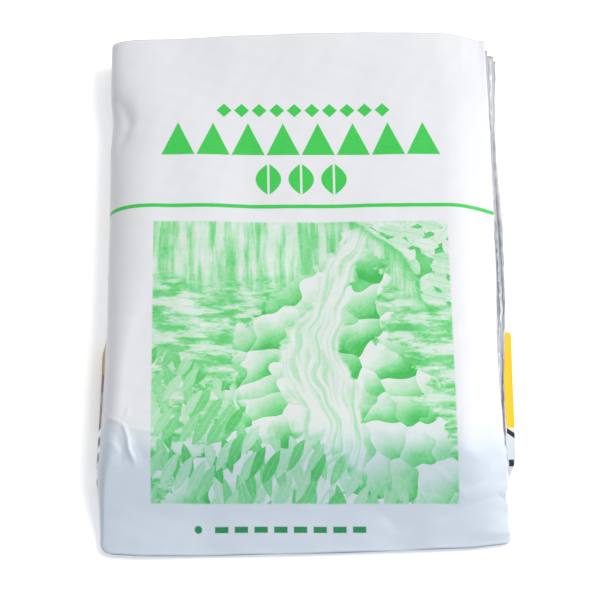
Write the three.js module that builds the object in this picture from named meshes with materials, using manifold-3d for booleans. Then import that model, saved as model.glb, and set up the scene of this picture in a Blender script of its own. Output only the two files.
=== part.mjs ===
// A folded emergency sleeping bag: silver film folded into a flat stack, in its white outer cover.
//
// Millimetres, +Z up. X runs across the pack, from the cover's fold on the left to its open edge
// on the right. Y runs along it, from the closed near end to the open far end. The origin is the
// middle of the pack's bounding box, on the surface it lies on.

import * as THREE from 'three';
import { mergeVertices } from 'three/addons/utils/BufferGeometryUtils.js';
import Module from 'manifold-3d';

const wasm = await Module();
wasm.setup();

const { clamp, mapLinear, smoothstep } = THREE.MathUtils;

// The closed pack.
const PACK_HEIGHT = 15;       // at the crowns
const FAR_END = 91;
const NEAR_END = -90.3;

// The bag, laid flat, is folded across into the stack's length and then back and forth into
// its layers, which are as wide as the bag's width shared among them.
const BAG_LENGTH = 2000;
const CROSS_FOLDS = 13;
const LAYERS = 8;
const LAYER_GAP = 0.36;       // between neighbouring layers
const STACK_FAR = FAR_END - 0.6;
const STACK_NEAR = STACK_FAR - BAG_LENGTH / CROSS_FOLDS;
const FAR_STEP = 0.5;         // how far neighbouring layers' far ends are off each other
const NEAR_STEP = 0.45;       // how much shorter each layer is at the near end

// The cover is one sheet.
const FILM = 1;
const CLEARANCE = 0.35;       // above and below the stack
const SIDE_CLEARANCE = 0.8;   // beside it, where the cover and the turns are both round

// Its front slopes down from the stack to the flat closed end.
const SLOPE_TOP = -61;
const SLOPE_FOOT = -88;
const SLOPE_EASE = 4;         // how softly the slope begins and ends
const END_HEIGHT = 2.1;       // the two sheets, closed on each other
const POCKET_END = -87.5;     // where the space between the sheets ends
const CORNER_RADIUS = 4;      // of the near corners, seen from above
const ASKEW = 2.8;            // how much farther in the closed end lies on the right
const ASKEW_START = -78;      // from where on the cover narrows to that

// Its section has a long round on the left, and bends down to the front's right edge.
const FOLD_TOP_X = -46;       // where the round leaves the flat front
const FOLD_FOOT_X = -53;      // where it leaves the flat back
const BEND_X = 50;            // where the front begins to bend down
const BEND_POWER = 1.25;      // 1 would be a straight slope
const CROWN_X = 45;           // the two crowns lie this far from the middle

// The pack's uneven shape, in rows from the far end to the near end. fold is the cover's left
// outline, front the right edge of its front and lip that edge's height, back the right edge of
// its back, stack the reach of the lowest layer, and sag the dip between the crowns.
const PLACES = [
  { y: FAR_END, fold: -62.6, front: 61.9, lip: 14.2, back: 65.2, stack: 66.4, sag: -0.3 },
  { y: 72, fold: -62.5, front: 62.1, lip: 12.6, back: 64.4, stack: 65.6, sag: 0.1 },
  { y: 62, fold: -61.6, front: 62.2, lip: 11.6, back: 64.0, stack: 65.1, sag: 0.5 },
  { y: 52, fold: -62.4, front: 62.2, lip: 10.7, back: 64.0, stack: 64.8, sag: 0.8 },
  { y: 26, fold: -62.0, front: 61.9, lip: 9.5, back: 64.2, stack: 65.1, sag: 1.1 },
  { y: 4, fold: -62.1, front: 61.8, lip: 9.4, back: 64.2, stack: 64.9, sag: 1.0 },
  { y: -13, fold: -62.0, front: 61.1, lip: 9.4, back: 64.3, stack: 64.5, sag: 0.9 },
  { y: -15, fold: -62.0, front: 61.0, lip: 9.4, back: 65.6, stack: 64.5, sag: 0.9 },
  { y: -32, fold: -62.2, front: 60.5, lip: 9.3, back: 65.7, stack: 64.4, sag: 0.8 },
  { y: -50, fold: -63.0, front: 61.5, lip: 9.0, back: 65.1, stack: 63.9, sag: 0.4 },
  { y: -60, fold: -63.4, front: 62.5, lip: 8.0, back: 64.4, stack: 63.3, sag: 0 },
  { y: -67, fold: -63.8, front: 62.8, lip: 6.6, back: 62.9, stack: 63, sag: 0 },
  { y: -72, fold: -63.7, front: 61.0, lip: 5.4, back: 62.4, stack: 63, sag: 0 },
  { y: -77, fold: -63.3, front: 62.3, lip: 4.0, back: 62.4, stack: 63, sag: 0 },
  { y: NEAR_END, fold: -62.8, front: 62.0, lip: END_HEIGHT, back: 62.0, stack: 63, sag: 0 },
];

// Every place where the bodies have a section.
const EXTRA_STATIONS = [40, -42, -54, -57, -63.5, -70, -74, -81, -85, -87.5, -89, -90];
const STATIONS = [...PLACES.map((row) => row.y), ...EXTRA_STATIONS].sort((a, b) => b - a);

// The stack's right side, from the lowest layer's free edge, over the folds, to the top layer's
// free edge: how far short of the lowest edge each one stops, and how far they all wander.
const RIGHT_STEPS = [0, 0.8, 2.4, 5.5, 9];
const WANDER = 0.25;
const WANDER_LENGTH = 14;
const LAYER_POINTS = 8;       // sections of the film along one layer
const TURN_SHARES = [0.25, 0.5, 0.75];

// The value of one column of PLACES at y, on a straight line between its rows.
function at(column, y) {
  const near = PLACES.findIndex((row) => row.y <= y);
  if (near < 0) return PLACES.at(-1)[column];
  if (near === 0) return PLACES[0][column];
  const [a, b] = [PLACES[near], PLACES[near - 1]];
  return mapLinear(y, a.y, b.y, a[column], b[column]);
}

const spread = (from, to, count) =>
  Array.from({ length: count }, (_, i) => from + ((to - from) * i) / (count - 1));

// A ramp that starts level and eases into a slope of one.
const softRamp = (d) => (d + Math.hypot(d, SLOPE_EASE)) / 2;

// The height of the cover's crowns at y.
function heightAt(y) {
  const rise = (softRamp(y - SLOPE_FOOT) - softRamp(y - SLOPE_TOP)) / (SLOPE_TOP - SLOPE_FOOT);
  return END_HEIGHT + (PACK_HEIGHT - END_HEIGHT) * rise;
}

// How far the front's right edge lies below the crowns.
const dropAt = (y) => Math.max(heightAt(y) - at('lip', y), 0);

// The upper face of the cover's front, right of its round fold.
function frontAt(x, y) {
  const hollow = 0.5 + 0.5 * Math.cos((Math.PI * clamp(x / CROWN_X, -1, 1)));
  const bend = Math.max((x - BEND_X) / (at('front', y) - BEND_X), 0);
  return heightAt(y) - at('sag', y) * hollow - dropAt(y) * bend ** BEND_POWER;
}

// How far the near corners are rounded off at y.
function cornerAt(y) {
  const into = Math.max(NEAR_END + CORNER_RADIUS - y, 0);
  return CORNER_RADIUS - Math.sqrt(Math.max(CORNER_RADIUS ** 2 - into ** 2, 0));
}

// How far in the closed end's slant brings the cover at x and y.
const askewAt = (x, y) =>
  ASKEW * clamp(mapLinear(x, -62, 62, 0, 1), 0, 1) ** 2 * smoothstep(-y, -ASKEW_START, -NEAR_END);

// A quarter of the left fold, from its outermost point to a flat side.
const quarter = (flatX, outerX, middle, rise, steps) =>
  spread(0, Math.PI / 2, steps + 1).map((angle) => [
    flatX - (flatX - outerX) * Math.cos(angle),
    middle + rise * Math.sin(angle),
  ]);

// One section of the cover at y, as points [x, z] from the back's right edge round to the
// front's. With inset at 0 it is the outside. With inset at FILM it is the space between the
// front and the back, run on past their right edges.
function coverSection(y, inset) {
  const past = inset ? 8 : -cornerAt(y);
  const fold = at('fold', y) + inset + (inset ? 0 : cornerAt(y));
  const middle = heightAt(y) / 2;
  const lower = quarter(FOLD_FOOT_X, fold, middle, inset - middle, 5).reverse();
  const upper = quarter(FOLD_TOP_X, fold, middle, middle - inset, 6).slice(1);
  const edge = at('front', y) + past;
  const xs = [...spread(FOLD_TOP_X, CROWN_X, 9).slice(1), ...spread(BEND_X, edge, 5)];
  const front = xs.map((x) => [x, frontAt(x, y) - inset]);
  const back = at('back', y) + past;
  return [[back, FILM], [back, inset], ...lower, ...upper, ...front].slice(inset ? 1 : 0);
}

// The room for one layer of the stack and the gap above it, at x and y.
const pitchAt = (x, y) =>
  (frontAt(clamp(x, FOLD_TOP_X, BEND_X), y) - 2 * (FILM + CLEARANCE)) / LAYERS;

// How far left the stack may reach at height z, inside the cover's fold.
function leftLimit(z, y) {
  const middle = heightAt(y) / 2;
  const share = Math.min(Math.abs(z - middle) / (middle - FILM - SIDE_CLEARANCE), 1);
  const flatX = z > middle ? FOLD_TOP_X : FOLD_FOOT_X;
  const reach = flatX - (at('fold', y) + FILM + SIDE_CLEARANCE);
  return flatX - reach * Math.sqrt(1 - share ** 2);
}

// How far right it may reach at height z, under the bend of the cover's front.
function rightLimit(z, y) {
  const room = Math.max(heightAt(y) - FILM - SIDE_CLEARANCE - z, 0);
  const share = Math.min(room / dropAt(y), 1);
  return share < 1 ? BEND_X + (at('front', y) - BEND_X) * share ** (1 / BEND_POWER) : Infinity;
}

// Edge number edge of the stack's right side at y, where the cover leaves it free.
const edgeAt = (edge, y) =>
  at('stack', y) - RIGHT_STEPS[edge] + WANDER * Math.sin(y / WANDER_LENGTH + 2.1 * edge);

// The middle of the turn that joins layer k to the one above, on the left.
function leftTurn(k, y) {
  const pitch = pitchAt(FOLD_TOP_X, y);
  const foot = FILM + CLEARANCE + k * pitch;
  const [bottom, middle, top] = [0, pitch, 2 * pitch].map((rise) => leftLimit(foot + rise, y));
  return Math.max(bottom, top, middle + pitch - LAYER_GAP / 2);
}

// Where layer k ends on the right: at the middle of its turn, or at a free edge.
function rightEnd(k, y) {
  const lower = k % 2 ? k : k - 1;
  const edge = (lower + 1) / 2;
  const free = lower < 0 || lower === LAYERS - 1;
  const pitch = pitchAt(BEND_X, y);
  const foot = FILM + CLEARANCE + Math.max(lower, 0) * pitch;
  if (free) return Math.min(edgeAt(edge, y), rightLimit(foot + pitch, y));
  const outer = pitch - LAYER_GAP / 2;
  return Math.min(
    edgeAt(edge, y) - outer, rightLimit(foot + pitch, y) - outer, rightLimit(foot + 2 * pitch, y),
  );
}

// The middle line of the folded film at y, from the lowest layer's free edge to the top one's.
// Each place has its normal and its layer, which is a fraction on a turn.
function foldedLine(y) {
  const line = [];
  for (let k = 0; k < LAYERS; k += 1) {
    const heading = k % 2 ? 1 : -1;
    const left = leftTurn(k - (k % 2), y);
    const right = rightEnd(k, y);
    const xs = spread(left, right, LAYER_POINTS);
    for (const x of heading > 0 ? xs : xs.reverse()) {
      const pitch = pitchAt(x, y);
      const z = FILM + CLEARANCE + (k + 0.5) * pitch;
      line.push({ x, z, nx: 0, nz: heading, pitch, k });
    }
    if (k === LAYERS - 1) break;
    const centre = heading > 0 ? right : left;
    const pitch = pitchAt(centre, y);
    for (const share of TURN_SHARES) {
      const angle = (share - 0.5) * Math.PI;
      const [outX, outZ] = [heading * Math.cos(angle), Math.sin(angle)];
      line.push({
        x: centre + (outX * pitch) / 2,
        z: FILM + CLEARANCE + (k + 1) * pitch + (outZ * pitch) / 2,
        nx: -heading * outX,
        nz: -heading * outZ,
        pitch,
        k: k + share,
      });
    }
  }
  return line;
}

// The stack's section at y: along one face of the folded film and back along the other.
function stackSection(y, stepped) {
  const line = foldedLine(y);
  const face = (side) => line.map(({ x, z, nx, nz, pitch, k }) => {
    const half = (side * (pitch - LAYER_GAP)) / 2;
    return [x + nx * half, y + stepped(k), z + nz * half];
  });
  return [...face(1), ...face(-1).reverse()];
}

// A closed body through rings of as many points. An end is closed by the triangles that
// capOf(count) gives, or by a fan round its middle where there is no capOf.
function loft(rings, capOf) {
  const count = rings[0].length;
  const points = rings.flat();
  const faces = [];
  for (let start = 0; start < points.length - count; start += count) {
    for (let i = 0; i < count; i += 1) {
      const [a, b] = [start + i, start + ((i + 1) % count)];
      faces.push(a, b + count, b, a, a + count, b + count);
    }
  }
  for (const [ring, turned] of [[rings[0], false], [rings.at(-1), true]]) {
    const start = turned ? count * (rings.length - 1) : 0;
    let cap = capOf?.(count).map((corner) => corner + start);
    if (!cap) {
      const middle = [0, 1, 2].map((axis) => ring.reduce((sum, p) => sum + p[axis] / count, 0));
      const centre = points.push(middle) - 1;
      cap = ring.flatMap((_, i) => [centre, start + i, start + ((i + 1) % count)]);
    }
    faces.push(...(turned ? cap.reverse() : cap));
  }
  const geometry = new THREE.BufferGeometry();
  geometry.setAttribute('position', new THREE.Float32BufferAttribute(points.flat(), 3));
  geometry.setIndex(faces);
  return geometry;
}

// The end of a folded sheet: a strip between the two faces of its ring.
const stripCap = (count) =>
  Array.from({ length: count / 2 - 1 }, (_, i) => {
    const [a, b, c, d] = [i, i + 1, count - 2 - i, count - 1 - i];
    return [a, b, c, a, c, d];
  }).flat();

function toSolid(geometry) {
  const merged = mergeVertices(geometry, 1e-4);
  return new wasm.Manifold(new wasm.Mesh({
    numProp: 3,
    vertProperties: new Float32Array(merged.attributes.position.array),
    triVerts: new Uint32Array(merged.index.array),
  }));
}

function toGeometry(solid) {
  const mesh = solid.getMesh();
  const geometry = new THREE.BufferGeometry();
  geometry.setAttribute('position', new THREE.Float32BufferAttribute(mesh.vertProperties, 3));
  geometry.setIndex(Array.from(mesh.triVerts));
  return geometry;
}

// The cover: everything inside its outline, less the space between its front and its back.
function makeCover() {
  const body = (ys, inset) => toSolid(loft(
    ys.map((y) => coverSection(y, inset).map(([x, z]) => [x, y + askewAt(x, y), z])),
  ));
  const pocketYs = [FAR_END + 5, ...STATIONS.filter((y) => y >= POCKET_END)];
  return toGeometry(body(STATIONS, 0).subtract(body(pocketYs, FILM)));
}

// The bag: one folded sheet, its layers stepped at both ends.
function makeBag() {
  const between = STATIONS.filter((y) => y < STACK_FAR - 5 && y > STACK_NEAR + 4);
  const farStep = (k) => -FAR_STEP * (1 + Math.sin(2.4 * k));
  const nearStep = (k) => NEAR_STEP * k;
  return loft([
    stackSection(STACK_FAR, farStep),
    ...between.map((y) => stackSection(y, () => 0)),
    stackSection(STACK_NEAR, nearStep),
  ], stripCap);
}

function piece(name, geometry, finish) {
  const mesh = new THREE.Mesh(geometry, new THREE.MeshStandardMaterial(finish));
  mesh.name = name;
  return mesh;
}

const pack = new THREE.Group();
pack.name = 'emergency_sleeping_bag';
pack.add(
  piece('folded_bag', makeBag(), { color: 0xc9ccd0, roughness: 0.3, metalness: 0.9 }),
  piece('outer_cover', makeCover(), { color: 0xe8ebef, roughness: 0.25, metalness: 0 }),
);

const bounds = new THREE.Box3().setFromObject(pack);
const centre = bounds.getCenter(new THREE.Vector3());
pack.position.set(-centre.x, -centre.y, -bounds.min.z);

export default pack;
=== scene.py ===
import math

import bpy
import numpy as np
from mathutils import Matrix, Vector


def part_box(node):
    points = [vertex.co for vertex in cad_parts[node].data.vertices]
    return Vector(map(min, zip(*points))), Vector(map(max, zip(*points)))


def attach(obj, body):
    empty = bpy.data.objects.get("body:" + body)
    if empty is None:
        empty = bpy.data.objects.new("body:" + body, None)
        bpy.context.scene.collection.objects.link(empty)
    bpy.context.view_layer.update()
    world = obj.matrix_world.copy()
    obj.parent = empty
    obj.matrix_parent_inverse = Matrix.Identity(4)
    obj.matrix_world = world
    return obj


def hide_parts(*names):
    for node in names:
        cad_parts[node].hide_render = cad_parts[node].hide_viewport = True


# A folded emergency sleeping bag: silver film folded into a flat stack, in a printed white cover.
#
# Lengths are in millimetres until a mesh is made. X runs across the pack, from the cover's fold on
# the left to its open edge on the right, Y from its closed near end to its open far end, Z up.

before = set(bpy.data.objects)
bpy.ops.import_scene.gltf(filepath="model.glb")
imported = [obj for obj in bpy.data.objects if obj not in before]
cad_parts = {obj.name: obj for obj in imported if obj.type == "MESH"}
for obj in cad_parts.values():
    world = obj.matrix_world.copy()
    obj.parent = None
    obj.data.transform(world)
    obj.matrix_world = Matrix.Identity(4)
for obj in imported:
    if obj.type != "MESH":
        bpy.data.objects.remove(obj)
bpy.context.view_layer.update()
MM = 0.001
FLAT_MAP = "Flat"                          # holds where each point lies on its sheet, laid flat

# The pack's uneven shape, in rows from the far end to the near end. fold is the cover's left
# outline, front the right edge of its front and lip that edge's height, back the right edge of
# its back, stack the reach of the lowest silver layer, sag the dip between the crowns, and round
# where the fold's round leaves the front.
COLUMNS = ("y", "fold", "front", "lip", "back", "stack", "sag", "round")
PLACES = np.array([
    (91.0, -62.6, 61.9, 14.2, 65.2, 66.4, -0.3, -46.0),
    (72.0, -62.5, 62.1, 12.6, 64.4, 65.6, 0.1, -46.0),
    (62.0, -61.6, 62.2, 11.6, 64.0, 65.1, 0.5, -46.0),
    (52.0, -62.4, 62.2, 10.7, 64.0, 64.8, 0.8, -46.0),
    (26.0, -62.0, 61.9, 9.5, 64.2, 65.1, 1.1, -46.0),
    (4.0, -62.1, 61.8, 9.4, 64.2, 64.9, 1.0, -48.5),
    (-13.0, -62.0, 61.1, 9.4, 64.3, 64.5, 0.9, -52.0),
    (-14.2, -62.0, 61.0, 9.4, 66.1, 64.2, 0.9, -52.3),
    (-32.0, -62.2, 60.5, 9.3, 65.7, 63.2, 0.8, -56.0),
    (-50.0, -63.0, 61.1, 9.0, 65.4, 62.6, 0.4, -57.0),
    (-60.0, -63.4, 61.4, 8.0, 65.0, 62.2, 0.0, -58.3),
    (-67.0, -63.8, 61.9, 6.6, 62.2, 63.0, 0.0, -60.3),
    (-72.0, -63.7, 61.6, 5.4, 61.4, 63.0, 0.0, -61.3),
    (-77.0, -63.3, 62.4, 4.0, 61.8, 63.0, 0.0, -61.5),
    (-90.3, -62.8, 62.2, 1.0, 62.0, 63.0, 0.0, -61.5),
])
FAR_END, NEAR_END = PLACES[0, 0], PLACES[-1, 0]
FOLD_REACH = PLACES[:, 1].min()
ROUNDING = np.linspace(-1.6, 1.6, 9)       # along the pack, over which its rows run together

# The pack's own zero, from the CAD solid of the cover.
cover_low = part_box("outer_cover")[0]
ZERO = np.array([cover_low.x / MM - FOLD_REACH, cover_low.y / MM - NEAR_END, cover_low.z / MM])

# The cover's section, and its slope down to the closed end.
PACK_HEIGHT = 15.0
FOLD_FOOT_X = -53.0                        # where the fold's round leaves the back
LEAST_ROUND = 1.3                          # width of the fold's round where it is sharpest
SQUARE_FROM, FAR_SQUARENESS = 58.0, 1.5    # from where, and how square, the fold is at the far end
ARC_POINTS = 300                           # that a quarter of the fold is measured by
BEND_X = 50.0                              # where the front bends down to its right edge
BEND_POWER = 1.25
BEND_EASE, BEND_BLEND = 3.0, 5.0           # how softly it begins, and how far before BEND_X
CROWN_X = 45.0
SLOPE_TOP, SLOPE_FOOT = -61.0, -89.5
TOP_EASE, FOOT_EASE = 4.0, 1.8             # how softly the slope begins and ends
END_HEIGHT = 0.26                          # the two sheets, closed on each other
CORNER_RADII = 3.2, 1.3                    # of the closed end's left and right corners
COVER_FILM = 0.12                          # thickness that the film is given

# The sheet's flat coordinate across: x on the front, then on round the fold and along the back.
FOLD_LINE = -66.0                          # the fold's outermost point
BACK_START = FOLD_LINE - 13.4
FRONT_BLEND = 20.0                         # from the fold line to where all of it is the front


def smooth(value, start, end):
    """From 0 at start to 1 at end, level at both."""
    share = np.clip((value - start) / (end - start), 0, 1)
    return share * share * (3 - 2 * share)


def soft_ramp(distance, ease):
    """A ramp that starts level and eases into a slope of one."""
    return (distance + np.hypot(distance, ease)) / 2


def between(pairs, place):
    """What pairs of a place and a value give at place, straight from pair to pair."""
    return np.interp(place, *zip(*pairs))


def straight_at(column, y):
    """One column of PLACES at y, straight from row to row."""
    rows = PLACES[::-1]
    return np.interp(y, rows[:, 0], rows[:, COLUMNS.index(column)])


def at(column, y):
    """One column of PLACES at y, rounded where its rows meet."""
    return np.mean([straight_at(column, y + step) for step in ROUNDING], axis=0)


def height_at(y):
    """The height of the cover's crowns at y."""
    rise = soft_ramp(y - SLOPE_FOOT, FOOT_EASE) - soft_ramp(y - SLOPE_TOP, TOP_EASE)
    return END_HEIGHT + (PACK_HEIGHT - END_HEIGHT) * rise / (SLOPE_TOP - SLOPE_FOOT)


def front_at(x, y):
    """The upper face of the cover's front, right of its round fold."""
    hollow = 0.5 + 0.5 * np.cos(np.pi * np.clip(x / CROWN_X, -1, 1))
    past = soft_ramp(x - BEND_X, BEND_EASE) * smooth(x, BEND_X - BEND_BLEND, BEND_X)
    bend = past / (at("front", y) - BEND_X)
    drop = np.maximum(height_at(y) - at("lip", y), 0)
    return height_at(y) - at("sag", y) * hollow - drop * bend ** BEND_POWER


def roundness(y):
    """The power that gives the fold's section at y: 1 is an ellipse, less is squarer."""
    return 1 / (1 + FAR_SQUARENESS * smooth(y, SQUARE_FROM, FAR_END))


def quarter_round(reach, rise, power, shares):
    """How far in and how far up a quarter of the fold has come, at shares of its length."""
    angle = np.linspace(0, np.pi / 2, ARC_POINTS)
    inward, up = reach * (1 - np.cos(angle) ** power), rise * np.sin(angle) ** power
    passed = np.concatenate([[0], np.cumsum(np.hypot(np.diff(inward), np.diff(up)))])
    return [np.interp(shares, passed / passed[-1], way) for way in (inward, up)]


def ripples(x, y, length, seed, waves=14):
    """Even noise of about -1 to 1, from waves in all directions that are about length long."""
    random = np.random.default_rng(seed)
    total = np.zeros(np.broadcast(x, y).shape)
    for _ in range(waves):
        heading = random.uniform(0, 2 * math.pi)
        pace = 2 * math.pi / (length * random.uniform(0.6, 1.7))
        phase = random.uniform(0, 2 * math.pi)
        total += np.sin(pace * (x * math.cos(heading) + y * math.sin(heading)) + phase)
    return total / math.sqrt(waves)


def near_line(points, x, y):
    """The distance of (x, y) from a line through points, and how far along it that is, 0 to 1."""
    points = np.array(points, float)
    lengths = np.hypot(*np.diff(points, axis=0).T)
    best = np.full(x.shape, np.inf)
    share = np.zeros(x.shape)
    passed = 0.0
    for (ax, ay), (bx, by), length in zip(points[:-1], points[1:], lengths):
        along = np.clip(((x - ax) * (bx - ax) + (y - ay) * (by - ay)) / length ** 2, 0, 1)
        away = np.hypot(x - ax - along * (bx - ax), y - ay - along * (by - ay))
        nearer = away < best
        share = np.where(nearer, (passed + along * length) / lengths.sum(), share)
        best = np.minimum(best, away)
        passed += length
    return best, share


# The cover's creases: the line of each, its half width, and how far it stands out of the film.
CREASES = (
    # The pinch high on the fold.
    (((-63, 72), (-59, 66), (-57, 59), (-59, 53), (-64, 47)), 2.1, -1.0),
    (((-54, 70), (-54, 60), (-55, 50)), 2.4, 0.30),
    # The creases where the fold runs down into the slope.
    (((-63, -45), (-60.6, -49.7), (-57.6, -51.6), (-55.8, -53.3)), 0.55, 0.55),
    (((-57, -51), (-55.8, -53.3), (-54.6, -57), (-54.2, -61), (-51.6, -66.5)), 0.5, 0.85),
    (((-57.5, -49.9), (-55.8, -53.3), (-48, -55.2), (-38, -56)), 0.7, 0.2),
    (((-56.6, -52), (-54.9, -49.6), (-54.2, -46)), 0.6, 0.2),
    (((-61.5, -53), (-58, -56), (-56.5, -60), (-56.5, -66)), 1.6, -0.45),
    (((-62.5, -57), (-59, -59), (-56, -63.5)), 0.6, 0.25),
    (((-52.5, -55), (-51.5, -60), (-48, -66)), 1.8, -0.3),
    # The creases of the slope's right end.
    (((62, -72.8), (51.6, -76.6), (43.4, -79.8), (35.4, -82.9), (28, -88)), 1.2, -0.2),
    (((38, -66), (46.4, -72.8), (50, -77)), 0.7, 0.16),
    (((21.8, -78.3), (25.4, -81.8), (29, -86)), 0.9, -0.15),
    (((47, -75), (49.2, -73.2), (54.8, -69.8), (57.4, -62.9), (58, -56)), 1.3, -0.22),
    (((61.2, -57), (61.6, -64), (63.2, -67.8)), 0.7, 0.5),
    (((61.5, -69.5), (60.6, -72), (59.6, -74.5)), 0.6, 0.45),
    # Long slack waves in the front.
    (((-20, 30), (-6, 18), (4, -4)), 7.0, -0.25),
    (((8, -30), (22, -44), (40, -52)), 6.0, 0.3),
)
CREASE_FADE = 0.25                         # the share of a crease over which each end dies away


def creases_at(across, y):
    total = np.zeros(across.shape)
    for points, width, rise in CREASES:
        away, share = near_line(points, across, y)
        ends = smooth(share, 0, CREASE_FADE) * smooth(share, 1, 1 - CREASE_FADE)
        total += rise * ends / (1 + (away / width) ** 2) ** 1.5
    return total


# How far the front's right edge stands out of its outline near the closed end: y and out.
EDGE_NICKS = (
    (-88.5, 0.0), (-84.0, 0.3), (-79.5, 0.4), (-77.0, 0.3), (-76.2, -0.2), (-75.4, -1.3),
    (-74.6, -1.8), (-72.6, -0.7), (-70.8, 0.8), (-69.6, 1.2), (-68.8, 0.7), (-67.0, 0.1),
    (-64.0, 0.0),
)
# How far in the closed end lies, for it is cut a little askew: x and in.
END_CUT = ((-62, 0.2), (-50, -0.7), (-2, -0.5), (29, 0.1), (50, 0.7), (62, 2.0))
END_LIFT = 1.2                             # of the closed end off the floor
# How much of its rise and reach the arch of the front's far edge has: x and share.
ARCH = (
    (-60, 0.0), (-50, 0.15), (-35, 0.4), (-12, 0.75), (10, 1.0), (32, 1.0), (46, 0.8),
    (54, 0.35), (60, -0.5),
)
ARCH_RISE, ARCH_REACH = 1.5, 1.2
FOOT_X, FOOT_HALF = FOLD_LINE - 5, 3.0     # the foot of the fold, in flat coordinates
FOOT_OUT = 3.0                             # how far it is pressed out where the back's print shows

# The y over which each form comes in, from none of it to all of it.
FOOT_BEGINS, FOOT_ENDS = (-10, -24), (-78, -66)
NICKS_BEGIN = (-40, -70)
END_SLACK_BEGINS = (-68, -88)
END_LIFTS = (-78, NEAR_END)
END_CUT_BEGINS = (-80, -90)
ARCH_RISES, ARCH_REACHES, MOUTH_BEGINS = (66, FAR_END), (78, FAR_END), (80, FAR_END)

# Each kind of wave in the film: its height, its pace along the pack, its length and its seed.
SLACK_WAVES = ((0.16, 0.6, 30, 3), (0.05, 1.0, 9, 5))
END_WAVES = (0.35, 0.4, 24, 8)
LIFT_WAVES = (0.25, 0.0, 40, 12)           # this height is a share of END_LIFT
MOUTH_WAVES = (0.12, 0.0, 18, 14)
EDGE_WAVES = (0.12, 0.0, 4, 31)

# The cover's mesh: finer from FINE_FROM to the closed end, and towards both sides of the front.
FINE_FROM = -44.0
FINE_SIDES = 0.45
FAR_ROWS, NEAR_ROWS = 117, 92
BACK_COLUMNS, TURN_COLUMNS, FRONT_COLUMNS = 21, 19, 145


def waves(x, y, height, pace, length, seed):
    return height * ripples(x, pace * y, length, seed)


def rounded_off(y, radius):
    """How much narrower the closed end is at y, at a corner with that radius."""
    into = np.maximum(NEAR_END + radius - y, 0)
    return radius - np.sqrt(np.maximum(radius ** 2 - into ** 2, 0))


def fold_section(y, outer, inner, turning):
    """The fold's section in each row, from its foot on the back to where the front starts."""
    middle = height_at(y) / 2
    quarters = []
    for reach in (FOLD_FOOT_X - outer, inner - outer):
        rows = zip(reach[:, 0], middle[:, 0], roundness(y)[:, 0])
        quarters.append(np.array([quarter_round(*row, turning) for row in rows]))
    lower, upper = quarters
    x = outer + np.hstack([lower[:, 0, ::-1], upper[:, 0, 1:]])
    z = middle + np.hstack([-lower[:, 1, ::-1], upper[:, 1, 1:]])
    return x, z


def cover_section(y):
    """The cover's outer face in each row, from the back's right edge to the front's: x, z, flat."""
    shares = np.linspace(0, 1, BACK_COLUMNS + 1)[None, :-1]
    turning = np.linspace(0, 1, TURN_COLUMNS)
    across = np.linspace(0, 1, FRONT_COLUMNS + 1)[None, 1:]
    across = across - FINE_SIDES / (2 * np.pi) * np.sin(2 * np.pi * across)
    left_corner, right_corner = (rounded_off(y, radius) for radius in CORNER_RADII)

    back_right = straight_at("back", y) - right_corner
    back_x = back_right + (FOLD_FOOT_X - back_right) * shares
    outer = at("fold", y) + left_corner
    inner = np.maximum(at("round", y), outer + LEAST_ROUND)
    fold_x, fold_z = fold_section(y, outer, inner, turning)
    nicks = between(EDGE_NICKS, y) + waves(y, y, *EDGE_WAVES) * smooth(y, *NICKS_BEGIN)
    edge = at("front", y) - right_corner + nicks
    front_x = inner + (edge - inner) * across

    x = np.hstack([back_x, fold_x, front_x])
    z = np.hstack([0 * back_x, fold_z, front_at(front_x, y)])
    flat = np.hstack([
        BACK_START - (back_x - FOLD_FOOT_X),
        BACK_START + (FOLD_LINE - BACK_START) * turning + 0 * y,
        FOLD_LINE + (inner - FOLD_LINE) * turning[1:],
        front_x,
    ])
    return x, z, flat


def relief(x, y, flat):
    """How far the film of the front stands out of its section, of itself."""
    front = smooth(flat, BACK_START, FOLD_LINE + FRONT_BLEND)
    slack = sum(waves(flat, y, *kind) for kind in SLACK_WAVES)
    ends = smooth(y, *END_SLACK_BEGINS) * waves(x, y, *END_WAVES)
    return front * (slack + ends + creases_at(flat, y))


def shaped_ends(x, y, z, flat):
    """Lifts the closed end a little off the floor, arches the mouth, and cuts both unevenly."""
    lift = END_LIFT * smooth(y, *END_LIFTS) * (1 + waves(x, y, *LIFT_WAVES))
    arch = between(ARCH, x) * smooth(flat, FOLD_LINE, FOLD_LINE + FRONT_BLEND)
    z = np.maximum(z, 0) + lift + ARCH_RISE * arch * smooth(y, *ARCH_RISES)
    y = y + ARCH_REACH * arch * smooth(y, *ARCH_REACHES)
    y = y + between(END_CUT, x) * smooth(y, *END_CUT_BEGINS)
    y = y + waves(x, x, *MOUTH_WAVES) * smooth(y, *MOUTH_BEGINS)
    return y, z


def cover_points():
    """The cover's outer face as rows along the pack: points, and their flat coordinates."""
    far = np.linspace(FAR_END, FINE_FROM, FAR_ROWS + 1)[:-1]
    near = np.linspace(FINE_FROM, NEAR_END, NEAR_ROWS)
    y = np.hstack([far, near])[:, None]
    x, z, flat = cover_section(y)
    out = relief(x, y, flat)
    out_x, out_z = -np.gradient(z, axis=1), np.gradient(x, axis=1)
    length = np.hypot(out_x, out_z)
    x = x + out * out_x / length
    z = z + out * out_z / length
    foot = np.exp(-((flat - FOOT_X) / FOOT_HALF) ** 2)
    x = x - FOOT_OUT * foot * smooth(y, *FOOT_BEGINS) * smooth(y, *FOOT_ENDS)
    y, z = shaped_ends(x, y, z, flat)
    return np.dstack([x, y, z]), np.dstack([flat, y])


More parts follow.
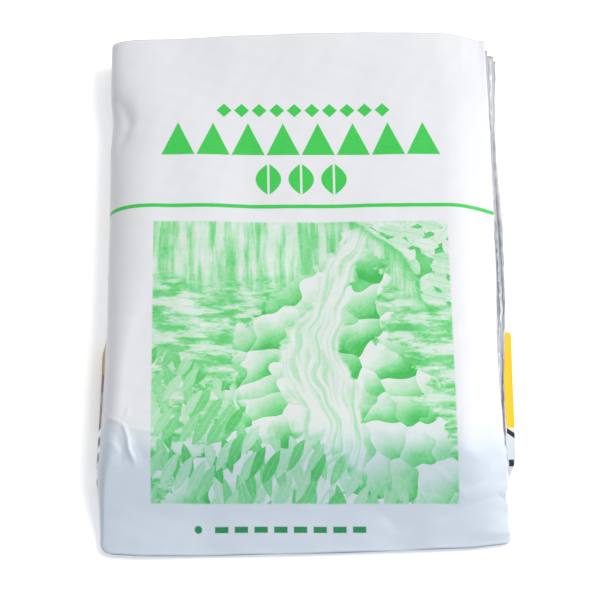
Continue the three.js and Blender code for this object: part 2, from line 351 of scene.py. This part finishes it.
def grid_mesh(name, points, flat=None):
    """A mesh of quads through rows of points, in metres, with their flat coordinates as a map."""
    rows, columns = points.shape[:2]
    index = np.arange(rows * columns).reshape(rows, columns)
    faces = np.stack([index[:-1, :-1], index[:-1, 1:], index[1:, 1:], index[1:, :-1]], axis=-1)
    mesh = bpy.data.meshes.new(name)
    mesh.from_pydata(((points + ZERO) * MM).reshape(-1, 3), [], faces.reshape(-1, 4).tolist())
    mesh.update()
    if flat is not None:
        layer = mesh.uv_layers.new(name=FLAT_MAP)
        corners = np.empty(len(mesh.loops), np.int32)
        mesh.loops.foreach_get("vertex_index", corners)
        layer.data.foreach_set("uv", flat.reshape(-1, 2)[corners].ravel())
    mesh.polygons.foreach_set("use_smooth", np.ones(len(mesh.polygons), bool))
    obj = bpy.data.objects.new(name, mesh)
    bpy.context.scene.collection.objects.link(obj)
    return obj


def thicken(obj, thickness):
    """Makes a sheet a closed film of that thickness, inwards from its outer face."""
    solid = obj.modifiers.new("film", "SOLIDIFY")
    solid.thickness = thickness * MM
    solid.offset = -1
    solid.use_even_offset = False
    bpy.context.view_layer.objects.active = obj
    bpy.ops.object.modifier_apply(modifier=solid.name)


def make_cover():
    points, flat = cover_points()
    cover = grid_mesh("cover_film", points[:, ::-1], flat[:, ::-1])
    thicken(cover, COVER_FILM)
    cover.data.materials.append(film_material())
    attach(cover, "root")
    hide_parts("outer_cover")


# The bag: one folded bundle of silver film, drawn as nested plies with room between them.
BAG_WIDTH, BAG_LENGTH = 1000.0, 2000.0     # laid flat
LAYERS = 8                                 # that its width is folded in
LAYER_GAP = 0.36
FOLD_WIDTH = BAG_LENGTH / 13               # it is first folded in 13 along its length
STACK_FAR = FAR_END - 0.6
STACK_NEAR = STACK_FAR - FOLD_WIDTH
PLIES = 3
PLY_FILM = 0.1
UNDER, OVER = 0.45, 0.4                    # what the stack leaves below and above it
SIDE_CLEARANCE = 0.7
RIGHT_STEPS = (0, 0.8, 2.4, 5.5, 9)        # how far short of the lowest edge each edge stops
WANDER, WANDER_LENGTH = 0.3, 14            # of the free edges
CRUMPLE, CRUMPLE_LENGTH = 0.1, 9           # of the free edges, more closely
CRINKLE, CRINKLE_LENGTH = 0.07, 5          # of the film's face
RAGGED_REACH = 12                          # over which the plies' ends grow uneven
PLY_ROWS, LAYER_COLUMNS, TURN_POINTS = 136, 33, 9


def pitch_at(x, y):
    """The room for one layer of the stack and the gap above it."""
    return (front_at(np.clip(x, -CROWN_X, BEND_X), y) - UNDER - OVER) / LAYERS


def left_limit(z, y):
    """How far left the stack may reach at height z, inside the cover's fold."""
    middle = height_at(y) / 2
    power = roundness(y)
    share = np.minimum(np.abs(z - middle) / (middle - SIDE_CLEARANCE), 1) ** (1 / power)
    flat_x = np.where(z > middle, at("round", y), FOLD_FOOT_X)
    reach = flat_x - at("fold", y) - SIDE_CLEARANCE
    return flat_x - reach * (1 - share ** 2) ** (power / 2)


def right_limit(z, y):
    """How far right it may reach at height z, under the bend of the cover's front."""
    drop = height_at(y) - at("lip", y)
    room = np.maximum(height_at(y) - SIDE_CLEARANCE - z, 0)
    share = np.minimum(room / drop, 1)
    reach = BEND_X + (at("front", y) - BEND_X) * share ** (1 / BEND_POWER)
    return np.where(share < 1, reach, np.inf)


def edge_at(edge, y):
    """Edge number edge of the stack's right side, where the cover leaves it free."""
    wander = WANDER * np.sin(y / WANDER_LENGTH + 2.1 * edge)
    crumple = CRUMPLE * ripples(y, 0 * y, CRUMPLE_LENGTH, seed=50 + edge)
    return at("stack", y) - RIGHT_STEPS[edge] + wander + crumple


def left_turn(k, y):
    """The middle of the turn that joins layer k to the one above, on the left."""
    pitch = pitch_at(-CROWN_X, y)
    foot = UNDER + k * pitch
    bottom, middle, top = (left_limit(foot + rise * pitch, y) for rise in (0, 1, 2))
    return np.maximum(np.maximum(bottom, top), middle + pitch)


def right_end(k, y):
    """Where layer k ends on the right: at the middle of its turn, or at a free edge."""
    lower = k if k % 2 else k - 1
    edge = (lower + 1) // 2
    pitch = pitch_at(BEND_X, y)
    foot = UNDER + max(lower, 0) * pitch
    if lower < 0 or lower == LAYERS - 1:
        return np.minimum(edge_at(edge, y), right_limit(foot + pitch, y))
    limits = (edge_at(edge, y) - pitch, right_limit(foot + pitch, y) - pitch,
              right_limit(foot + 2 * pitch, y))
    return np.minimum.reduce(limits)


def folded_lines(y):
    """The folded bundle's middle line at each y: x, z, its normal, the pitch and the layer."""
    parts = []
    ease = 0.5 - 0.5 * np.cos(np.pi * np.linspace(0, 1, LAYER_COLUMNS))
    shares = np.linspace(0, 1, TURN_POINTS)[1:-1]
    for k in range(LAYERS):
        heading = 1 if k % 2 else -1
        left, right = left_turn(k - k % 2, y), right_end(k, y)
        start, end = (left, right) if heading > 0 else (right, left)
        x = start + (end - start) * ease
        pitch = pitch_at(x, y)
        parts.append((x, UNDER + (k + 0.5) * pitch, 0 * x, heading + 0 * x, pitch, k + 0 * x))
        if k == LAYERS - 1:
            break
        angle = (shares - 0.5) * np.pi
        pitch = pitch_at(end, y)
        out_x, out_z = heading * np.cos(angle), np.sin(angle)
        parts.append((
            end + out_x * pitch / 2,
            UNDER + (k + 1) * pitch + out_z * pitch / 2,
            -heading * out_x + 0 * y,
            -heading * out_z + 0 * y,
            pitch + 0 * out_x,
            k + shares + 0 * y,
        ))
    return [np.hstack(column) for column in zip(*parts)]


def ply_points(ply):
    """One ply of the bundle, crinkled and with uneven ends."""
    y = np.linspace(STACK_FAR, STACK_NEAR, PLY_ROWS)[:, None]
    x, z, out_x, out_z, pitch, layer = folded_lines(y)
    share = (ply - (PLIES - 1) / 2) / PLIES
    away = share * (pitch - LAYER_GAP * 0.5)
    x, z = x + out_x * away, z + out_z * away
    crinkle = CRINKLE * ripples(x, y, CRINKLE_LENGTH, seed=70 + ply) * np.minimum(pitch, 1)
    x, z = x + out_x * crinkle, z + out_z * crinkle
    far = smooth(y, STACK_FAR - RAGGED_REACH, STACK_FAR)
    near = smooth(y, STACK_NEAR + RAGGED_REACH, STACK_NEAR)
    ragged = 0.5 * np.sin(2.4 * layer + ply) + 0.35 * ripples(x, 3 * layer, 22, seed=80 + ply)
    return np.dstack([x, y + far * (ragged - 0.6) + near * (0.45 * layer + 0.5 * ragged), z])


def make_ply(ply, finish):
    film = grid_mesh(f"silver_ply_{ply + 1}", ply_points(ply))
    thicken(film, PLY_FILM)
    film.data.materials.append(finish)
    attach(film, "root")
    return film


def make_bag():
    finish = silver_material()
    plies = [make_ply(ply, finish) for ply in range(PLIES)]
    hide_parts("folded_bag")


class Graph:
    """Adds nodes to a material or world. Inputs are numbers, colours or other nodes' outputs."""

    def __init__(self, owner):
        owner.use_nodes = True
        self.material = owner
        self.tree = owner.node_tree
        self.shader = self.tree.nodes.get("Principled BSDF")

    def set(self, socket, value):
        if isinstance(value, bpy.types.NodeSocket):
            self.tree.links.new(value, socket)
        else:
            socket.default_value = value

    def node(self, kind, inputs, **settings):
        made = self.tree.nodes.new("ShaderNode" + kind)
        for name, value in settings.items():
            setattr(made, name, value)
        for name, value in inputs.items():
            self.set(made.inputs[name], value)
        return made

    def math(self, operation, *values):
        made = self.node("Math", {}, operation=operation)
        for socket, value in zip(made.inputs, values):
            self.set(socket, value)
        return made.outputs[0]

    def add(self, a, b):
        return self.math("ADD", a, b)

    def less(self, a, b):
        return self.math("SUBTRACT", a, b)

    def times(self, a, b):
        return self.math("MULTIPLY", a, b)

    def vectors(self, operation, a, b):
        """A sum with vectors, as its outputs Vector and Value."""
        return self.node("VectorMath", {0: a, 1: b}, operation=operation).outputs

    def parts(self, vector):
        """A vector's X, Y and Z."""
        return self.node("SeparateXYZ", {0: vector}).outputs

    def point(self, x, y, z=0.0):
        return self.node("CombineXYZ", {"X": x, "Y": y, "Z": z}).outputs[0]

    def both(self, *depths):
        """Inside all of these shapes: a depth is how far inside a place is, in millimetres."""
        total = depths[0]
        for depth in depths[1:]:
            total = self.math("MINIMUM", total, depth)
        return total

    def either(self, *depths):
        total = depths[0]
        for depth in depths[1:]:
            total = self.math("MAXIMUM", total, depth)
        return total

    def within(self, value, middle, half):
        """The depth inside a strip."""
        return self.less(half, self.math("ABSOLUTE", self.less(value, middle)))

    def patch(self, x, y, place):
        """The depth inside an upright rectangle."""
        across = self.within(x, place["x"], place["half_x"])
        return self.both(across, self.within(y, place["y"], place["half_y"]))

    def mask(self, depth, softness=0.3):
        """1 inside a shape and 0 outside it, with a soft edge."""
        return self.step(depth, -softness / 2, softness / 2)

    def step(self, value, start, end):
        """From 0 at start to 1 at end, level at both."""
        return self.node("MapRange", {
            "Value": value, "From Min": start, "From Max": end,
        }, interpolation_type="SMOOTHSTEP").outputs[0]

    def remap(self, value, start, end, low=0.0, high=1.0):
        """From low at start to high at end, straight between them and level beyond."""
        return self.node("MapRange", {
            "Value": value, "From Min": start, "From Max": end, "To Min": low, "To Max": high,
        }).outputs[0]

    def blend(self, share, a, b):
        """From number a to number b."""
        return self.node("Mix", {0: share, 2: a, 3: b}).outputs[0]

    def mix(self, share, a, b):
        """From colour a to colour b."""
        made = self.node("Mix", {}, data_type="RGBA")
        for name, value in (("Factor_Float", share), ("A_Color", a), ("B_Color", b)):
            self.set(next(s for s in made.inputs if s.identifier == name), value)
        return next(s for s in made.outputs if s.identifier == "Result_Color")

    def ramp(self, value, stops, interpolation="LINEAR"):
        made = self.node("ValToRGB", {"Fac": value})
        ramp = made.color_ramp
        ramp.interpolation = interpolation
        while len(ramp.elements) < len(stops):
            ramp.elements.new(0.5)
        for element, (place, colour) in zip(ramp.elements, stops):
            element.position = place
            element.color = colour
        return made.outputs["Color"]

    def noise(self, vector, scale, detail=3.0, roughness=0.5, distortion=0.0):
        return self.node("TexNoise", {
            "Vector": vector, "Scale": scale, "Detail": detail,
            "Roughness": roughness, "Distortion": distortion,
        }).outputs["Fac"]

    def cells(self, vector, scale, randomness=1.0, **settings):
        return self.node("TexVoronoi", {
            "Vector": vector, "Scale": scale, "Randomness": randomness,
        }, **settings).outputs

    def bump(self, height, distance, strength, normal=None):
        inputs = {"Height": height, "Distance": distance * MM, "Strength": strength}
        if normal is not None:
            inputs["Normal"] = normal
        return self.node("Bump", inputs).outputs[0]


def srgb(red, green, blue):
    """A screen colour, 0 to 255, as Blender's own numbers."""
    parts = (value / 255 for value in (red, green, blue))
    return *((p / 12.92 if p < 0.04045 else ((p + 0.055) / 1.055) ** 2.4) for p in parts), 1.0


WHITE_FILM, GREY_FILM = srgb(207, 209, 213), srgb(196, 201, 208)
# Painted highlight: the pale colour where the flap's torn right edge catches the light.
PAINTED_EDGE_HIGHLIGHT = srgb(232, 236, 240)
INK = srgb(44, 181, 68)
INK_DARK = srgb(8, 130, 70)
PICTURE_TONES = (
    (0.0, srgb(52, 168, 74)),
    (0.25, srgb(98, 190, 116)),
    (0.5, srgb(142, 201, 154)),
    (0.75, srgb(178, 206, 186)),
    (1.0, srgb(203, 210, 208)),
)
FLAP_PAINTED_SHADE = (0.81, 0.90, 0.98)             # painted shade on the sloping flap, where no silver lies behind the film
FLAP_LEFT, FLAP_RIGHT = (-62.0, -51.0), (-50.0, -57.5)    # x and y of the painted shade's edge, level beyond them
FLAP_BLUR = 8.0
EDGE_HIGHLIGHT_SPAN = (61.0, 62.4)                   # x over which a highlight is painted on the flap's right edge

# The print, in the sheet's flat coordinates. It lies a little askew on the sheet.
PRINT_SKEW = 0.0135
RULE_Y, RULE_HALF = 25.8, 0.7
PICTURE = {"x": -0.5, "y": -28.4, "half_x": 47.0, "half_y": 48.2}
# Each row of plain ornaments: its place, how many are in it, and the share of the row they fill.
BEADS = {"x": 1.0, "y": 62.5, "half_x": 28.8, "half_y": 2.6, "count": 10, "fill": 0.86}
PEAKS = {"x": 0.0, "y": 51.4, "half_x": 45.6, "half_y": 6.2, "count": 8, "fill": 0.95}
LEAVES = {"x": 0.0, "y": 36.0, "half_x": 15.9, "half_y": 6.0, "count": 3, "fill": 0.78}
LEAF_SLIT = 0.35                           # half the width of the slit down each of those leaves
DASHES = {"x": -5.0, "y": -83.9, "half_x": 24.0, "half_y": 0.9, "count": 8, "fill": 0.68}
DOT = {"x": -33.1, "y": -83.8, "radius": 1.15}


def repeated(g, x, row):
    """x within its own ornament of a row, 0 at its middle, and that ornament's half width."""
    half = row["half_x"] / row["count"]
    start = row["x"] - row["half_x"]
    place = g.math("WRAP", g.less(x, start), 2 * half, 0.0)
    return g.less(place, half), row["fill"] * half


def ornaments(g, x, y):
    """Depths of the bright print and of the dark print."""
    rule = g.within(y, RULE_Y, RULE_HALF)

    u, half = repeated(g, x, BEADS)
    v = g.math("ABSOLUTE", g.less(y, BEADS["y"]))
    lozenge = g.less(half, g.add(g.math("ABSOLUTE", u), g.times(v, half / BEADS["half_y"])))
    beads = g.both(lozenge, g.within(x, BEADS["x"], BEADS["half_x"]))

    u, half = repeated(g, x, PEAKS)
    v = g.less(y, PEAKS["y"] - PEAKS["half_y"])
    steep = 2 * PEAKS["half_y"] / half
    sides = g.less(2 * PEAKS["half_y"], g.add(v, g.times(g.math("ABSOLUTE", u), steep)))
    peaks = g.both(g.times(sides, 0.4), v, g.within(x, PEAKS["x"], PEAKS["half_x"]))

    u, half = repeated(g, x, LEAVES)
    v = g.math("DIVIDE", g.less(y, LEAVES["y"]), LEAVES["half_y"])
    swell = g.times(g.less(1.0, g.times(v, v)), half)
    u = g.math("ABSOLUTE", u)
    row = g.within(x, LEAVES["x"], LEAVES["half_x"])
    leaf = g.both(g.less(swell, u), g.less(u, LEAF_SLIT), row)

    u, half = repeated(g, x, DASHES)
    dash = g.both(g.within(u, 0.0, half), g.patch(x, y, DASHES))
    off = g.vectors("SUBTRACT", g.point(x, y), (DOT["x"], DOT["y"], 0))["Vector"]
    dot = g.less(DOT["radius"], g.node("VectorMath", {0: off}, operation="LENGTH").outputs["Value"])
    return g.either(rule, beads, peaks, leaf), g.either(dash, dot)


def turned(g, x, y, degrees):
    """x and y in axes turned by an angle."""
    c, s = math.cos(math.radians(degrees)), math.sin(math.radians(degrees))
    return g.add(g.times(x, c), g.times(y, s)), g.less(g.times(y, c), g.times(x, s))


def leaves(g, x, y, degrees, width, length, shift):
    """A scatter of leaves that point one way: where they are, each one's own tone, and its rib."""
    u, v = turned(g, x, y, degrees)
    place = g.point(g.times(g.add(u, shift), 1 / width), g.times(v, 1 / length))
    cell = g.cells(place, 1.0, randomness=0.85, voronoi_dimensions="2D")
    off = g.parts(g.vectors("SUBTRACT", place, cell["Position"])["Vector"])
    side = g.math("ABSOLUTE", off["X"])
    half = g.times(g.less(1.0, g.times(g.times(off["Y"], off["Y"]), 4.6)), 0.40)
    own = g.node("SeparateColor", {0: cell["Color"]}).outputs["Red"]
    return g.mask(g.less(half, side), 0.07), own, g.mask(g.less(0.02, side), 0.04)


def strokes(g, x, y, pace, edges, tones, detail=4, roughness=0.6):
    """Long strokes: their pace across and along, what noise parts dark from light, both tones."""
    grain = g.noise(g.point(g.times(x, pace[0]), g.times(y, pace[1])), 1.0, detail, roughness)
    return g.add(tones[0], g.times(g.step(grain, *edges), tones[1] - tones[0]))


def wood_and_bank(g, x, y, wide, rough):
    """A far wood, in upright strokes, and the bank below it in flat ones."""
    wood = strokes(g, x, y, (0.24, 0.022), (0.40, 0.60), (0.30, 0.85))
    bank = strokes(g, x, y, (0.07, 0.24), (0.42, 0.60), (0.22, 0.88), detail=5, roughness=0.68)
    over = g.step(g.add(y, g.times(g.add(wide, rough), 34.0)), -10.0, 0.0)
    return g.add(g.blend(over, bank, wood), g.times(rough, 0.7))


def rocks_and_fall(g, x, y, wide, rough, tone):
    """A fall of water, in bright threads, and rocks that spread out on both sides of its foot."""
    swing = g.add(g.times(g.math("SINE", g.times(y, 0.085)), 6.0), g.times(wide, 20.0))
    off = g.less(x, g.add(swing, g.add(12.0, g.times(y, 0.16))))
    aside = g.math("ABSOLUTE", off)
    fall = strokes(g, off, y, (0.55, 0.05), (0.36, 0.58), (0.62, 1.0), roughness=0.5)

    bend = g.less(g.noise(g.point(x, y), 0.10, detail=1), 0.5)
    shaken = g.point(g.add(x, g.times(bend, 16.0)), g.add(y, g.times(wide, 14.0)))
    facet = g.cells(shaken, 0.11, voronoi_dimensions="2D")
    local = g.vectors("SUBTRACT", shaken, facet["Position"])["Vector"]
    lit = g.vectors("DOT_PRODUCT", local, (-0.05, 0.075, 0))["Value"]
    own = g.node("SeparateColor", {0: facet["Color"]}).outputs["Red"]
    rocks = g.add(g.add(0.36, g.times(own, 0.5)), lit)
    spread = g.less(g.add(13.0, g.times(g.add(wide, rough), 26.0)), g.times(y, 0.42))
    tone = g.blend(g.mask(g.less(spread, aside), 2.0), tone, g.add(rocks, g.times(rough, 0.5)))
    breadth = g.less(g.add(5.5, g.times(rough, 12.0)), g.times(y, 0.10))
    return g.blend(g.mask(g.less(breadth, aside), 2.5), tone, fall)


# How each scatter of the picture's leaves points, in degrees, and how far it is shifted.
HANGING_LEAVES = ((28, 0.0), (-34, 21.0), (75, 9.0))
STANDING_LEAVES = ((14, 5.0), (-30, 14.0))


def foliage(g, x, y, wide, rough, tone):
    """Pale leaves on a dark ground at the upper right, and dark ones at the lower left."""
    hanging = g.add(g.add(g.times(x, 0.9), y), g.add(-34.0, g.times(wide, 40.0)))
    shade = g.mask(g.add(hanging, 3.0), 9.0)
    tone = g.blend(g.times(shade, 0.85), tone, g.add(0.08, g.times(rough, 0.8)))
    for degrees, shift in HANGING_LEAVES:
        shown, own, rib = leaves(g, x, y, degrees, 5.2, 9.0, shift)
        leaf = g.add(0.62, g.less(g.times(own, 0.36), g.times(rib, 0.30)))
        tone = g.blend(g.times(shown, g.mask(hanging, 3.0)), tone, leaf)
    standing = g.less(g.add(-58.0, g.times(wide, 44.0)), g.add(g.times(x, 0.8), y))
    for degrees, shift in STANDING_LEAVES:
        shown, own, rib = leaves(g, x, y, degrees, 4.2, 12.0, shift)
        blade = g.add(0.10, g.add(g.times(own, 0.60), g.times(rib, 0.20)))
        tone = g.blend(g.times(shown, g.mask(standing, 4.0)), tone, blade)
    return tone


def picture_tone(g, x, y):
    """The picture: from 0 in full ink to 1 on bare film."""
    place = g.point(x, y)
    wide = g.less(g.noise(place, 0.035, detail=2), 0.5)
    rough = g.less(g.noise(place, 0.13, detail=5, roughness=0.62), 0.5)
    grain = g.less(g.noise(place, 0.8, detail=4, roughness=0.7), 0.5)
    tone = wood_and_bank(g, x, y, wide, rough)
    tone = rocks_and_fall(g, x, y, wide, rough, tone)
    tone = foliage(g, x, y, wide, rough, tone)
    return g.add(tone, g.times(grain, 0.42))


# The plain print at the back's two edges, where it shows from above; at the fold, painted shade and
# painted glints.
BACK_EDGE = BACK_START - (65.0 - FOLD_FOOT_X)             # about where its right edge lies
EDGE_BAND = {"x": BACK_EDGE - 1.0, "y": -31.0, "half_x": 4.5, "half_y": 17.0}
MARK_STEEP = 0.8
SLANT_MARK = {
    "x": BACK_EDGE + 0.9, "y": -50.6 - MARK_STEEP * BACK_EDGE, "half_x": 1.2, "half_y": 0.95,
}
LOWER_MARK = {"x": BACK_EDGE + 1.2, "y": -60.3, "half_x": 0.8, "half_y": 1.2}
SHADED_RIM_BANDS = {"x": FOLD_LINE - 8.0, "y": -34.0, "half_x": 7.0, "half_y": 16.0}
RIM_GLINTS = {"x": FOLD_LINE - 8.0, "y": -59.0, "half_x": 7.0, "half_y": 9.5}
# The back's print where it shows at the fold, its colours painted darker as they look in shade
# there.
RIM_PRINT_IN_SHADE = (
    (0.0, srgb(120, 112, 84)),
    (0.3, srgb(140, 138, 140)),
    (0.42, srgb(112, 60, 62)),
    (0.62, srgb(150, 132, 60)),
)
# Painted glints: white and dark specks where the crinkled fold's lower end catches the light.
PAINTED_GLINTS = (
    (0.38, srgb(84, 88, 96)),
    (0.50, srgb(168, 172, 178)),
    (0.56, srgb(250, 251, 252)),
)


def back_print(g, colour, x, y):
    """Adds the bands of colour and the dark marks of the back, the fold's print painted darker as
    in shade, and painted glints.
    """
    colour = g.mix(g.mask(g.patch(x, y, EDGE_BAND)), colour, srgb(228, 184, 6))
    slant = g.patch(x, g.less(y, g.times(x, MARK_STEEP)), SLANT_MARK)
    marks = g.mask(g.either(slant, g.patch(x, y, LOWER_MARK)))
    colour = g.mix(marks, colour, srgb(2, 2, 3))
    # Painted shade: the print at the fold is given darkened colours, as it looks in shade at the
    # grazing edge.
    bands = g.ramp(g.remap(y, -50.0, -18.0), RIM_PRINT_IN_SHADE, "CONSTANT")
    colour = g.mix(g.mask(g.patch(x, y, SHADED_RIM_BANDS)), colour, bands)
    # Painted glints on the fold's lower end.
    glints = g.ramp(g.noise(g.point(g.times(x, 0.1), y), 0.5, detail=2), PAINTED_GLINTS)
    return g.mix(g.mask(g.patch(x, y, RIM_GLINTS)), colour, glints)


def film_material():
    """White glossy film with a green print, wavy and a little crumpled."""
    g = Graph(bpy.data.materials.new("printed_film"))
    flat = g.node("UVMap", {}, uv_map=FLAT_MAP).outputs["UV"]
    across, along = (g.parts(flat)[name] for name in ("X", "Y"))
    x, y = across, g.add(along, g.times(across, PRINT_SKEW))

    clouds = g.noise(flat, 0.03, detail=2)
    colour = g.mix(g.times(clouds, 0.12), WHITE_FILM, GREY_FILM)
    bright, dark = ornaments(g, x, y)
    wear = g.remap(g.noise(flat, 1.6, detail=4), 0.30, 0.45, 0.9, 1.0)
    colour = g.mix(g.times(g.mask(bright), wear), colour, INK)
    colour = g.mix(g.times(g.mask(dark), wear), colour, INK_DARK)
    tones = g.ramp(picture_tone(g, x, y), PICTURE_TONES)
    colour = g.mix(g.mask(g.patch(x, y, PICTURE), 0.6), colour, tones)
    colour = back_print(g, colour, across, along)

    # Painted shade: the sloping flap is darkened and made bluer, as it looks in the light.
    flap_edge = g.remap(across, FLAP_LEFT[0], FLAP_RIGHT[0], FLAP_LEFT[1], FLAP_RIGHT[1])
    flap_shade = g.step(g.less(flap_edge, along), -FLAP_BLUR, FLAP_BLUR)
    shaded = g.vectors("MULTIPLY", colour, FLAP_PAINTED_SHADE)["Vector"]
    colour = g.mix(flap_shade, colour, shaded)
    # Painted highlight: the flap's right edge is paled towards white, as it catches the light.
    edge_highlight = g.times(g.step(across, *EDGE_HIGHLIGHT_SPAN), g.times(flap_shade, 0.6))
    colour = g.mix(edge_highlight, colour, PAINTED_EDGE_HIGHLIGHT)

    dents = g.noise(flat, 0.11, detail=3, distortion=0.4)
    crumple = g.noise(flat, 0.5, detail=4, roughness=0.6)
    normal = g.bump(crumple, 0.08, 0.18, g.bump(dents, 0.5, 0.10))
    g.set(g.shader.inputs["Base Color"], colour)
    g.set(g.shader.inputs["Roughness"], g.remap(crumple, 0.0, 1.0, 0.32, 0.46))
    g.set(g.shader.inputs["Normal"], normal)
    g.shader.inputs["Specular IOR Level"].default_value = 0.4
    return g.material


SILVER_GRAIN = (1100.0, 14.0, 1100.0)      # fine across the folds and long along them
SILVER_TONES = (
    (0.35, srgb(70, 74, 82)),
    (0.43, srgb(128, 132, 140)),
    (0.56, srgb(162, 166, 173)),
    (0.66, srgb(206, 209, 213)),
)
FAR_SILVER, FAR_FROM, FAR_FULL = srgb(196, 199, 203), 0.01, 0.05    # a tone, and two y in metres


def silver_material():
    """Bright metallised film, crinkled in small facets."""
    g = Graph(bpy.data.materials.new("silver_film"))
    place = g.node("TexCoord", {}).outputs["Object"]
    facets = g.cells(place, 260.0)["Distance"]
    small = g.noise(place, 900.0, detail=4, roughness=0.65)
    long = g.vectors("MULTIPLY", place, SILVER_GRAIN)["Vector"]
    streaks = g.noise(long, 1.0, detail=4, roughness=0.6)
    far = g.step(g.parts(place)["Y"], FAR_FROM, FAR_FULL)
    colour = g.mix(g.times(far, 0.5), g.ramp(streaks, SILVER_TONES), FAR_SILVER)
    g.set(g.shader.inputs["Base Color"], colour)
    g.set(g.shader.inputs["Roughness"], g.remap(small, 0.0, 1.0, 0.36, 0.52))
    g.set(g.shader.inputs["Normal"], g.bump(small, 0.12, 0.3, g.bump(facets, 0.4, 0.3)))
    g.shader.inputs["Metallic"].default_value = 1.0
    return g.material


# The floor and the light.
FLOOR_SIZE = 6.0
FLOOR_DROP = 0.0002                        # of the floor below the pack
FLOOR_TONES = srgb(250, 250, 250), srgb(240, 240, 242)
FLOOR_PAINTED_GLOW = 0.24                          # painted light: the floor glows of itself, lifting the shadows beside the pack
SKY_NEAR, SKY_FAR = (0.38, 0.44, 0.50, 1), (1.62, 1.56, 1.50, 1)    # the studio's two ends
SKY_STRENGTH = 0.77
SKY_TURN = (0.5, 0.866)                    # which way its far end lies
SKY_LEAN = 0.3                             # how much brighter it is at the right
KEY = {"place": (0.45, 0.06, 0.66), "size": 0.4, "power": 4.0, "colour": (1.0, 0.985, 0.97)}


def make_floor():
    bpy.ops.mesh.primitive_plane_add(size=FLOOR_SIZE, location=(0, 0, -FLOOR_DROP))
    floor = bpy.context.object
    floor.name = "floor"
    g = Graph(bpy.data.materials.new("pale_floor"))
    grain = g.noise(g.node("TexCoord", {}).outputs["Object"], 240.0, detail=2)
    g.set(g.shader.inputs["Base Color"], g.mix(g.times(grain, 0.02), *FLOOR_TONES))
    g.shader.inputs["Roughness"].default_value = 0.75
    # Painted light: a glow in the floor, which lifts the shadows around the pack.
    g.shader.inputs["Emission Color"].default_value = (1, 1, 1, 1)
    g.shader.inputs["Emission Strength"].default_value = FLOOR_PAINTED_GLOW
    floor.data.materials.append(g.material)


def make_key():
    """A square area light, its place in metres, that faces the pack."""
    light = bpy.data.lights.new("key", "AREA")
    light.size = KEY["size"]
    light.energy = KEY["power"]
    light.color = KEY["colour"]
    lamp = bpy.data.objects.new("key", light)
    lamp.location = KEY["place"]
    lamp.rotation_euler = Vector(KEY["place"]).to_track_quat("Z", "Y").to_euler()
    bpy.context.scene.collection.objects.link(lamp)


def make_studio():
    """A studio that is brighter at the far side and at the right, in front of a white backdrop."""
    world = bpy.data.worlds.new("studio")
    world.use_nodes = True
    bpy.context.scene.world = world
    g = Graph(world)
    heading = g.parts(g.node("TexCoord", {}).outputs["Generated"])
    toward = g.add(g.times(heading["X"], SKY_TURN[0]), g.times(heading["Y"], SKY_TURN[1]))
    far = g.remap(toward, -1.0, 1.0)
    strength = g.times(SKY_STRENGTH, g.add(1.0, g.times(heading["X"], SKY_LEAN)))
    studio = g.tree.nodes["Background"]
    g.set(studio.inputs["Color"], g.mix(far, SKY_NEAR, SKY_FAR))
    g.set(studio.inputs["Strength"], strength)
    backdrop = g.node("Background", {"Color": (1, 1, 1, 1), "Strength": 1.0})
    seen = g.node("LightPath", {}).outputs["Is Camera Ray"]
    both = g.node("MixShader", {0: seen, 1: studio.outputs[0], 2: backdrop.outputs[0]})
    g.set(g.tree.nodes["World Output"].inputs["Surface"], both.outputs[0])


# The camera looks down along the pack from its closed end.
CAMERA_TARGET = np.array([-1.0, -5.5, 8.0])
CAMERA_DISTANCE = 862.0
CAMERA_RISE = math.radians(60)
CAMERA_TURN = math.radians(-0.85)
SENSOR = 36.0
FOCAL_SHARE = 2714 / 600                   # the focal length, in widths of the picture


def make_camera():
    back = np.array([
        math.sin(CAMERA_TURN) * math.cos(CAMERA_RISE),
        -math.cos(CAMERA_TURN) * math.cos(CAMERA_RISE),
        math.sin(CAMERA_RISE),
    ])
    data = bpy.data.cameras.new("camera")
    data.sensor_width = SENSOR
    data.lens = SENSOR * FOCAL_SHARE
    camera = bpy.data.objects.new("camera", data)
    place = (CAMERA_TARGET + ZERO + back * CAMERA_DISTANCE) * MM
    right = Vector((math.cos(CAMERA_TURN), math.sin(CAMERA_TURN), 0))
    behind = Vector(back)
    turn = Matrix((right, behind.cross(right), behind)).transposed()
    camera.matrix_world = Matrix.Translation(place) @ turn.to_4x4()
    bpy.context.scene.collection.objects.link(camera)
    bpy.context.scene.camera = camera


make_camera()
make_key()
make_studio()
make_floor()
make_cover()
make_bag()
bpy.context.scene.view_settings.view_transform = "Standard"
